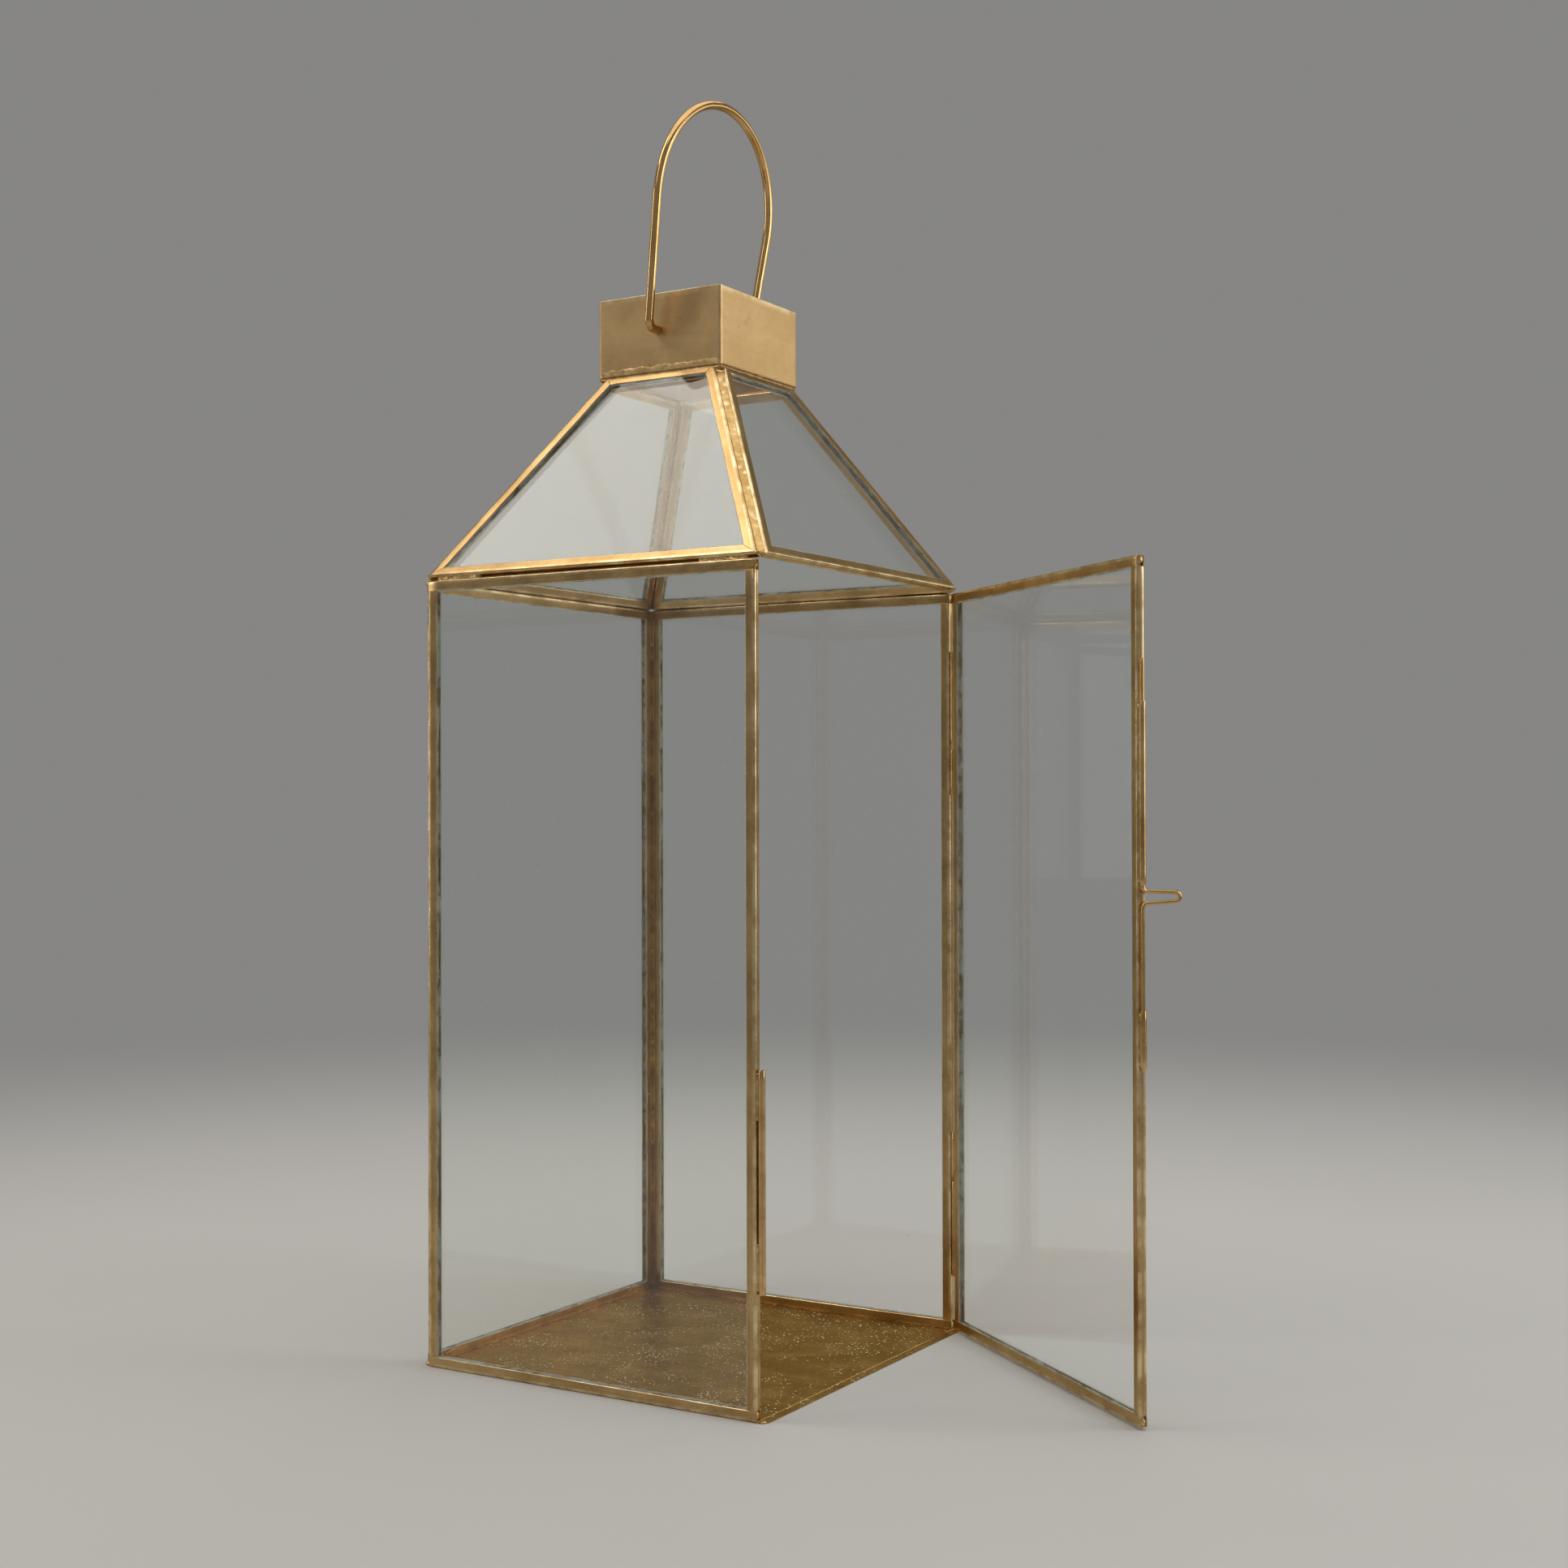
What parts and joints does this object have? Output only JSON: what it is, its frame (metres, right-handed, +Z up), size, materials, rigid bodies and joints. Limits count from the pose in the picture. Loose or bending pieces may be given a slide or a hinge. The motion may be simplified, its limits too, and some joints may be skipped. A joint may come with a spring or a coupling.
{
  "type": "candle lantern",
  "caption": "Square brass-framed glass candle lantern with a hinged glass door on a wire bolt, a glass roof, an open neck and a wire carrying handle.",
  "frame": {"origin": "centre of the underside of the square body, on the surface that the lantern stands on", "axes": "+Z up, -Y out of the door side, +X towards the door's hinges"},
  "size_m": [0.2, 0.363, 0.6362],
  "materials": {
    "brass_sheet": "brushed satin sheet brass with brown heat tint beside the solder",
    "brass_channel": "folded satin brass channel, lightly tarnished",
    "brass_tube": "drawn brass tube, satin, tarnished",
    "brass_wire": "drawn round brass wire, burnished",
    "solder": "lumpy soft solder, brass coloured and dull",
    "glass": "clear float glass with faint green edges"
  },
  "bodies": {
    "lantern_body": {"base_plate": "brass_sheet", "right_glass": "glass", "back_glass": "glass", "left_glass": "glass", "right_bottom_rail": "brass_channel", "right_right_stile": "brass_channel", "right_top_rail": "brass_channel", "right_left_stile": "brass_channel", "back_bottom_rail": "brass_channel", "back_right_stile": "brass_channel", "back_top_rail": "brass_channel", "back_left_stile": "brass_channel", "left_bottom_rail": "brass_channel", "left_right_stile": "brass_channel", "left_top_rail": "brass_channel", "left_left_stile": "brass_channel", "roof_front_glass": "glass", "roof_right_glass": "glass", "roof_back_glass": "glass", "roof_left_glass": "glass", "roof_front_eave": "brass_channel", "roof_front_right_hip": "brass_channel", "roof_front_top_channel": "brass_channel", "roof_front_left_hip": "brass_channel", "roof_right_eave": "brass_channel", "roof_right_right_hip": "brass_channel", "roof_right_top_channel": "brass_channel", "roof_right_left_hip": "brass_channel", "roof_back_eave": "brass_channel", "roof_back_right_hip": "brass_channel", "roof_back_top_channel": "brass_channel", "roof_back_left_hip": "brass_channel", "roof_left_eave": "brass_channel", "roof_left_right_hip": "brass_channel", "roof_left_top_channel": "brass_channel", "roof_left_left_hip": "brass_channel", "neck": "brass_sheet", "upper_post_knuckle": "brass_tube", "lower_post_knuckle": "brass_tube", "upper_hinge_pin": "brass_tube", "lower_hinge_pin": "brass_tube", "keeper_tube": "brass_tube", "corner_solder": "solder", "hip_solder": "solder", "eave_solder": "solder", "neck_solder": "solder", "post_solder": "solder"},
    "door": {"door_glass": "glass", "door_bottom_rail": "brass_channel", "door_right_stile": "brass_channel", "door_top_rail": "brass_channel", "door_left_stile": "brass_channel", "upper_door_knuckle": "brass_tube", "lower_door_knuckle": "brass_tube", "upper_bolt_guide": "brass_tube", "lower_bolt_guide": "brass_tube", "door_solder": "solder"},
    "latch_bolt": {"latch_bolt": "brass_wire"},
    "handle": {"handle": "brass_wire"}
  },
  "joints": [
    {"name": "door_hinge", "type": "hinge", "parent": "lantern_body", "child": "door", "pos_m": [0.0964, -0.0973, 0.2], "axis": [0, 0, 1], "range_deg": [-52, 96]},
    {"name": "bolt_slide", "type": "slide", "parent": "door", "child": "latch_bolt", "axis": [0, 0, -1], "range_m": [0, 0.045]},
    {"name": "handle_swing", "type": "hinge", "parent": "lantern_body", "child": "handle", "pos_m": [0, 0, 0.51582], "axis": [1, 0, 0], "range_deg": [-138.9, 122.1]}
  ]
}
